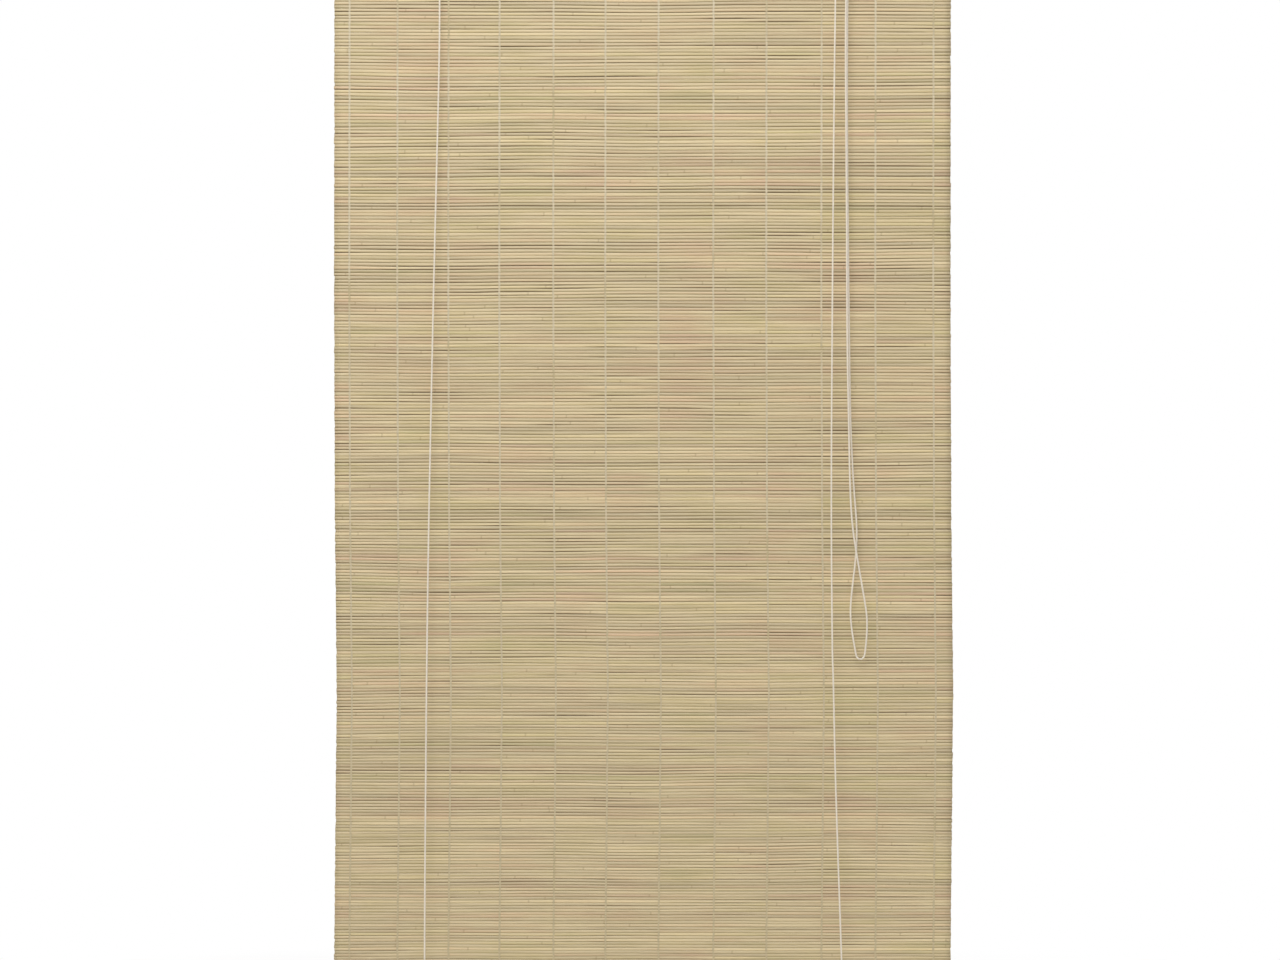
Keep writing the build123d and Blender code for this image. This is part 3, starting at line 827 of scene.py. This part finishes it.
# Sharp edges that have been rubbed, on wood, metal and plastic
def makeEdgeGroup():
    tree, given, result = newGroup("edgeWear", [("Radius", 0.0005), ("Patches", 300.0)], [("Mask", "Float")])
    rounded = addNode(tree, "ShaderNodeBevel", samples=6)
    wire(tree, given["Radius"], rounded.inputs["Radius"])
    surface = addNode(tree, "ShaderNodeNewGeometry")
    same = addNode(tree, "ShaderNodeVectorMath", operation="DOT_PRODUCT")
    wire(tree, rounded.outputs[0], same.inputs[0])
    wire(tree, surface.outputs["Normal"], same.inputs[1])
    place = addNode(tree, "ShaderNodeTexCoord")
    patches = addNode(tree, "ShaderNodeTexNoise", Detail=2.0)
    wire(tree, place.outputs["Object"], patches.inputs["Vector"])
    wire(tree, given["Patches"], patches.inputs["Scale"])
    rim = rangeOf(tree, same.outputs["Value"], 0.985, 0.85)
    rubbed = rangeOf(tree, patches.outputs["Fac"], 0.35, 0.6)
    wire(tree, mathNode(tree, "MULTIPLY", rim, rubbed), result["Mask"])
    return tree


def makeScratchGroup():
    # mottled plating and fine scratches along X
    values = [("Grain", 400.0), ("Fineness", 2400.0)]
    tree, given, result = newGroup("metalScratches", values, [("Mottle", "Float"), ("Scratch", "Float")])
    place = addNode(tree, "ShaderNodeTexCoord")
    mottle = addNode(tree, "ShaderNodeTexNoise", Detail=3.0, Roughness=0.55)
    wire(tree, place.outputs["Object"], mottle.inputs["Vector"])
    wire(tree, given["Grain"], mottle.inputs["Scale"])
    stretched = addNode(tree, "ShaderNodeVectorMath", operation="MULTIPLY")
    wire(tree, place.outputs["Object"], stretched.inputs[0])
    stretched.inputs[1].default_value = (0.04, 1.0, 1.0)
    scratch = addNode(tree, "ShaderNodeTexNoise", Detail=2.0, Roughness=0.6)
    wire(tree, stretched.outputs[0], scratch.inputs["Vector"])
    wire(tree, given["Fineness"], scratch.inputs["Scale"])
    wire(tree, mottle.outputs["Fac"], result["Mottle"])
    wire(tree, scratch.outputs["Fac"], result["Scratch"])
    return tree


edgeGroup = makeEdgeGroup()
scratchGroup = makeScratchGroup()

# Wood of the rail and the dowel
woodLook = {
    "head_rail": {
        "light": linear(214, 190, 150),
        "dark": linear(186, 156, 112),
        "worn": linear(226, 208, 174),
        "wornShare": 0.5,
        "across": 120.0,
    },
    "bottom_dowel": {
        "light": linear(217, 197, 156),
        "dark": linear(192, 166, 122),
        "worn": linear(228, 212, 180),
        "wornShare": 0.5,
        "across": 160.0,
    },
}


def woodMaterial(name, look):
    material, tree, shader = newMaterial(name + "Wood")
    grain = placeGroup(tree, fibreGroup, Along=2.0, Across=look["across"])
    pores = placeGroup(tree, fibreGroup, Along=14.0, Across=look["across"] * 9)
    colour = mixColour(tree, "MIX", rangeOf(tree, grain["Fibre"], 0.35, 0.65), look["light"], look["dark"])
    pits = grey(tree, rangeOf(tree, pores["Fibre"], 0.3, 0.7, 0.88, 1.05))
    colour = mixColour(tree, "MULTIPLY", 1.0, colour, pits)
    worn = placeGroup(tree, edgeGroup, Radius=0.0008, Patches=90.0)["Mask"]
    colour = mixColour(tree, "MIX", mathNode(tree, "MULTIPLY", worn, look["wornShare"]), colour, look["worn"])
    wire(tree, colour, shader.inputs["Base Color"])
    wire(tree, rangeOf(tree, grain["Streak"], 0.3, 0.7, 0.42, 0.56), shader.inputs["Roughness"])
    shader.inputs["Coat Weight"].default_value = 0.15
    bumpFrom(tree, shader, pores["Fibre"], strength=0.25, distance=0.0002)
    return material


# Zinc plated strip, screws and wire
metalLook = {
    "zinc": {
        "light": linear(206, 207, 206),
        "dark": linear(168, 170, 171),
        "worn": linear(226, 226, 224),
        "roughness": (0.27, 0.46),
        "wornShare": 0.6,
        "grain": 420.0,
    },
    "steel": {
        "light": linear(196, 196, 194),
        "dark": linear(150, 150, 150),
        "worn": linear(220, 220, 218),
        "roughness": (0.23, 0.42),
        "wornShare": 0.6,
        "grain": 900.0,
    },
    "brass": {
        "light": linear(214, 180, 108),
        "dark": linear(176, 138, 74),
        "worn": linear(236, 210, 150),
        "roughness": (0.29, 0.48),
        "wornShare": 0.6,
        "grain": 700.0,
    },
}


def metalMaterial(name, look):
    material, tree, shader = newMaterial(name)
    marks = placeGroup(tree, scratchGroup, Grain=look["grain"], Fineness=2400.0)
    worn = placeGroup(tree, edgeGroup, Radius=0.0004, Patches=500.0)["Mask"]
    colour = mixColour(tree, "MIX", rangeOf(tree, marks["Mottle"], 0.35, 0.65), look["light"], look["dark"])
    colour = mixColour(tree, "MIX", mathNode(tree, "MULTIPLY", worn, look["wornShare"]), colour, look["worn"])
    wire(tree, colour, shader.inputs["Base Color"])
    wire(tree, rangeOf(tree, marks["Scratch"], 0.3, 0.7, *look["roughness"]), shader.inputs["Roughness"])
    shader.inputs["Metallic"].default_value = 1.0
    bumpFrom(tree, shader, marks["Scratch"], strength=0.15, distance=0.0001)
    return material


# Plastic of the cord wheels
plasticLook = {
    "light": linear(232, 228, 216),
    "dark": linear(218, 213, 199),
    "worn": linear(240, 238, 230),
    "wornShare": 0.5,
    "roughness": (0.38, 0.5),
}


def plasticMaterial():
    look = plasticLook
    material, tree, shader = newMaterial("wheelPlastic")
    marks = placeGroup(tree, scratchGroup, Grain=300.0, Fineness=1600.0)
    worn = placeGroup(tree, edgeGroup, Radius=0.0005, Patches=400.0)["Mask"]
    colour = mixColour(tree, "MIX", rangeOf(tree, marks["Mottle"], 0.3, 0.7), look["light"], look["dark"])
    colour = mixColour(tree, "MIX", mathNode(tree, "MULTIPLY", worn, look["wornShare"]), colour, look["worn"])
    wire(tree, colour, shader.inputs["Base Color"])
    wire(tree, rangeOf(tree, marks["Mottle"], 0.3, 0.7, *look["roughness"]), shader.inputs["Roughness"])
    bumpFrom(tree, shader, marks["Scratch"], strength=0.1, distance=0.0001)
    return material


metals = {name: metalMaterial(name, look) for name, look in metalLook.items()}
wheelPlastic = plasticMaterial()
finishes = {name: woodMaterial(name, look) for name, look in woodLook.items()}
for node in frame["nodes"]:
    if "screws" in node or "staples" in node or "axle" in node or node.endswith("pin"):
        finishes[node] = metals["steel"]
    elif "plate" in node or "strap" in node:
        finishes[node] = metals["zinc"]
    elif node == "lock_pawl":
        finishes[node] = metals["brass"]
    elif "wheel" in node:
        finishes[node] = wheelPlastic
for node, material in finishes.items():
    piece = frame["nodes"][node]
    for socket in piece.material_slots:
        socket.material = material
print("finishes set")

# Room, light and camera
stageLook = {
    "softLight": 0.34,
    "white": 1.0,
    "floorZ": -1.78,
    "floorSize": 7.0,
    "paper": linear(250, 250, 250),
    "paperRoughness": 0.9,
    "fadeFrom": 0.7,
    "fadeTo": 2.4,
}
lamps = {
    "key": {"power": 106.0, "place": (-0.9, -2.75, 2.2), "aim": (0.0, 0.0, -0.4), "size": (2.6, 2.0)},
    "fill": {"power": 9.0, "place": (2.4, -3.2, 1.1), "aim": (0.0, 0.0, -0.8), "size": (1.6, 1.6)},
    "rear": {"power": 60.0, "place": (1.6, 3.0, 0.9), "aim": (0.0, 0.0, -0.8), "size": (1.6, 1.6)},
}


def whiteForCamera(tree, lit, glow, share=None):
    # white where the camera or a mirror looks, and plain where light falls
    path = addNode(tree, "ShaderNodeLightPath")
    seen = mathNode(tree, "MAXIMUM", path.outputs["Is Camera Ray"], path.outputs["Is Glossy Ray"])
    seen = mathNode(tree, "MAXIMUM", seen, path.outputs["Is Transmission Ray"])
    if share is not None:
        seen = mathNode(tree, "MULTIPLY", seen, share)
    mix = addNode(tree, "ShaderNodeMixShader")
    wire(tree, seen, mix.inputs[0])
    wire(tree, lit, mix.inputs[1])
    wire(tree, glow, mix.inputs[2])
    return mix.outputs[0]


def makeWorld():
    world = bpy.data.worlds.new("studio")
    world.use_nodes = True
    tree = world.node_tree
    tree.nodes.clear()
    soft = addNode(tree, "ShaderNodeBackground", Color=(1, 1, 1, 1), Strength=stageLook["softLight"])
    white = addNode(tree, "ShaderNodeBackground", Color=(1, 1, 1, 1), Strength=stageLook["white"])
    end = addNode(tree, "ShaderNodeOutputWorld")
    wire(tree, whiteForCamera(tree, soft.outputs[0], white.outputs[0]), end.inputs["Surface"])
    bpy.context.scene.world = world


def makeFloor():
    half = stageLook["floorSize"] / 2
    points = [(-half, -half, 0), (half, -half, 0), (half, half, 0), (-half, half, 0)]
    material, tree, shader = newMaterial("palePaper")
    shader.inputs["Base Color"].default_value = stageLook["paper"]
    shader.inputs["Roughness"].default_value = stageLook["paperRoughness"]
    # the paper keeps the shadow near the blind, and runs out into white
    place = addNode(tree, "ShaderNodeTexCoord")
    away = addNode(tree, "ShaderNodeVectorMath", operation="LENGTH")
    wire(tree, place.outputs["Object"], away.inputs[0])
    glow = addNode(tree, "ShaderNodeEmission", Color=(1, 1, 1, 1), Strength=stageLook["white"])
    fade = rangeOf(tree, away.outputs["Value"], stageLook["fadeFrom"], stageLook["fadeTo"])
    end = next(node for node in tree.nodes if node.type == "OUTPUT_MATERIAL")
    wire(tree, whiteForCamera(tree, shader.outputs[0], glow.outputs[0], fade), end.inputs["Surface"])
    floor = meshFrom("floor", points, [(0, 1, 2, 3)], material)
    floor.location.z = stageLook["floorZ"]


def makeSoftbox(name, power, place, aim, size):
    light = bpy.data.lights.new(name, "AREA")
    light.shape = "RECTANGLE"
    light.energy = power
    light.size, light.size_y = size
    lamp = bpy.data.objects.new(name, light)
    lamp.location = place
    lamp.rotation_euler = (Vector(aim) - Vector(place)).to_track_quat("-Z", "Y").to_euler()
    lamp.visible_camera = False
    bpy.context.scene.collection.objects.link(lamp)


photoView = {
    "lens": 85.0,
    "sensor": 36.0,
    "frameWidth": 1.6623,
    "centre": (-0.0039, -0.8140),
    "plane": matFront,
}


def makeCamera():
    camera = bpy.data.cameras.new("camera")
    camera.lens = photoView["lens"]
    camera.sensor_width = photoView["sensor"]
    away = photoView["frameWidth"] * photoView["lens"] / photoView["sensor"]
    holder = bpy.data.objects.new("camera", camera)
    holder.location = (photoView["centre"][0], photoView["plane"] - away, photoView["centre"][1])
    holder.rotation_euler = (math.radians(90), 0, 0)
    bpy.context.scene.collection.objects.link(holder)
    bpy.context.scene.camera = holder


makeWorld()
makeFloor()
for name, lamp in lamps.items():
    makeSoftbox(name, **lamp)
makeCamera()
bpy.context.scene.view_settings.view_transform = "Standard"
print("room and camera ready")
